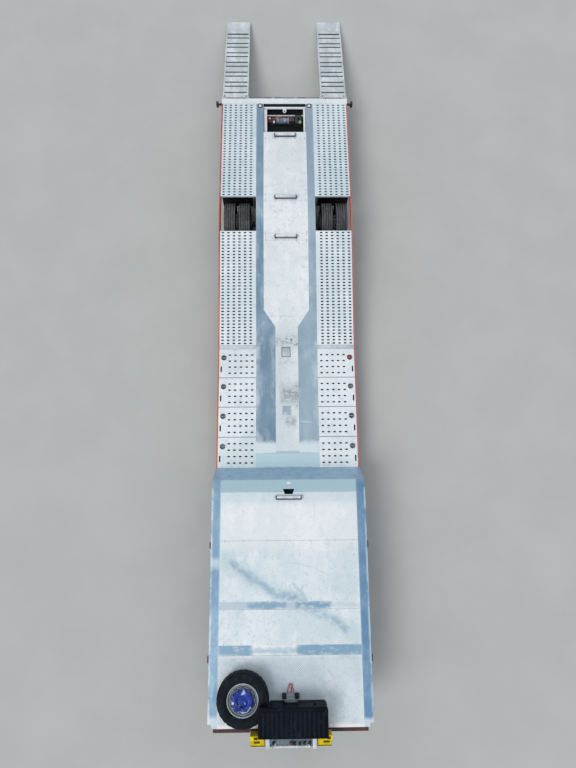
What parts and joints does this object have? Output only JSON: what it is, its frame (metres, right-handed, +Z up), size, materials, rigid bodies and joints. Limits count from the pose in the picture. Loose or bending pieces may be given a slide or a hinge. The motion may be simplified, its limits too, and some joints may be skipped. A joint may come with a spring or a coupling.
{
  "type": "car transporter semi-trailer",
  "caption": "Low car transporter semi-trailer: gooseneck, humped two-lane deck, twin wheels on one axle and two folding loading ramps.",
  "frame": {"origin": "on the ground, under the middle of the whole trailer with its ramps down", "axes": "+X to the trailer's left side, +Y to its rear, +Z up"},
  "size_m": [2.79, 14.221, 1.474],
  "materials": {
    "galvanised": "satin",
    "deck_light": "satin",
    "rail_red": "satin",
    "beam_red": "satin",
    "tyre_black": "matt",
    "rim_silver": "satin",
    "rim_blue": "satin",
    "hub_dark": "matt",
    "rubber_black": "matt",
    "cover_black": "matt",
    "chock_yellow": "satin",
    "lamp_red": "gloss",
    "plate_white": "satin",
    "steel_dark": "satin",
    "steel_bright": "satin",
    "winch_grey": "satin",
    "hook_red": "satin",
    "pin_steel": "satin"
  },
  "bodies": {
    "chassis": {"main_beams": "galvanised", "cross_members": "galvanised", "gooseneck_frame": "galvanised", "gooseneck_bands": "galvanised", "gooseneck_deck_plates": "deck_light", "neck_plates": "galvanised", "centre_covers": "deck_light", "side_rails": "rail_red", "front_panels": "deck_light", "mid_lanes": "deck_light", "rear_lanes": "deck_light", "rear_beam": "deck_light", "ramp_hinge_pins": "pin_steel", "underrun_bar": "galvanised", "number_plate": "plate_white", "tail_lamps": "lamp_red", "marker_lamps": "lamp_red", "rear_compartment": "steel_bright", "hydraulic_unit": "winch_grey", "rope_rollers": "steel_bright", "roller_brackets": "steel_dark", "coupler_plate": "galvanised", "kingpin": "pin_steel", "landing_legs": "steel_dark", "landing_feet": "steel_dark", "landing_shaft": "steel_dark", "front_beam": "beam_red", "front_frame": "steel_bright", "chock_holders": "steel_bright", "wheel_chocks": "chock_yellow", "winch_block": "winch_grey", "winch_cover": "cover_black", "winch_fairlead": "steel_dark", "winch_hook": "hook_red", "spare_tyre": "tyre_black", "spare_rim": "rim_blue", "axle_beam": "steel_dark", "suspension_arms": "steel_dark", "hanger_brackets": "galvanised", "pivot_pins": "pin_steel", "air_springs": "rubber_black", "air_tank": "steel_dark", "mud_flaps": "rubber_black"},
    "wheels_left": {"tyres_left": "tyre_black", "rims_left": "rim_silver", "hub_left": "hub_dark"},
    "wheels_right": {"tyres_right": "tyre_black", "rims_right": "rim_silver", "hub_right": "hub_dark"},
    "ramp_left": {"ramp_left": "deck_light"},
    "ramp_right": {"ramp_right": "deck_light"}
  },
  "joints": [
    {"name": "wheels_left_turn", "type": "hinge", "parent": "chassis", "child": "wheels_left", "pos_m": [0.936, 1.94547, 0.3985], "axis": [1, 0, 0], "continuous": true},
    {"name": "wheels_right_turn", "type": "hinge", "parent": "chassis", "child": "wheels_right", "pos_m": [-0.936, 1.94547, 0.3985], "axis": [1, 0, 0], "continuous": true},
    {"name": "ramp_left_hinge", "type": "hinge", "parent": "chassis", "child": "ramp_left", "pos_m": [1, 4.67547, 0.606], "axis": [1, 0, 0], "range_deg": [0, 107]},
    {"name": "ramp_right_hinge", "type": "hinge", "parent": "chassis", "child": "ramp_right", "pos_m": [-1, 4.67547, 0.606], "axis": [1, 0, 0], "range_deg": [0, 107]}
  ]
}
